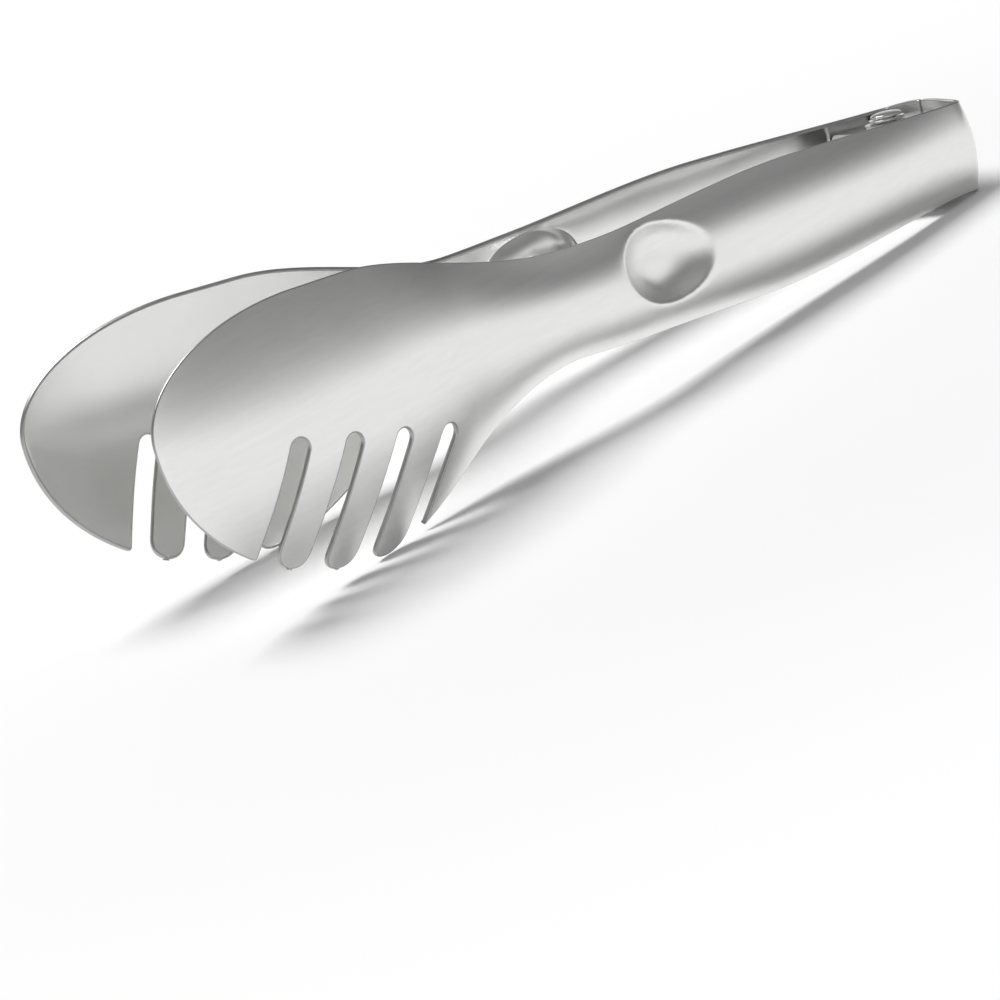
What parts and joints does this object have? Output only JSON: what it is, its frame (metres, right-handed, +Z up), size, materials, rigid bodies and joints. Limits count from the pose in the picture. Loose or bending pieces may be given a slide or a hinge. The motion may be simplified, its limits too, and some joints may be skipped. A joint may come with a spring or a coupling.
{
  "type": "spaghetti tongs",
  "caption": "Sprung stainless spaghetti tongs: pressed channel arms with thumb dimples and slotted, spoon-shaped blades that close on a pin hinge near the handle's end.",
  "frame": {"origin": "middle of the footprint, on the surface that the tongs lie on", "axes": "+X along the tongs from the blades to the hinged end of the handle, +Y from the front arm to the rear arm, +Z up with the tines down; the tongs lie on their lowest tines and on the lower corner of the handle's end, so the hinge axis leans about 10 degrees from +Z towards +X"},
  "size_m": [0.2298, 0.0674, 0.0613],
  "materials": {
    "arm_steel": "satin outside, polished inside",
    "hinge_steel": "bright rolled",
    "spring_wire": "drawn wire"
  },
  "bodies": {
    "rear_half": {"rear_arm": "arm_steel", "rear_bracket": "hinge_steel", "hinge_pin": "hinge_steel", "retaining_ring": "hinge_steel", "upper_washer": "hinge_steel", "lower_washer": "hinge_steel", "spring_sleeve": "hinge_steel", "torsion_spring": "spring_wire"},
    "front_half": {"front_arm": "arm_steel", "front_bracket": "hinge_steel"}
  },
  "joints": [
    {"name": "hinge", "type": "hinge", "parent": "rear_half", "child": "front_half", "pos_m": [0.10136, 0, 0.01187], "axis": [-0.1777, 0, -0.9841], "range_deg": [0, 15], "stiffness_Nm_per_rad": 1, "springref_deg": -10.03, "deforming": ["torsion_spring"]}
  ]
}
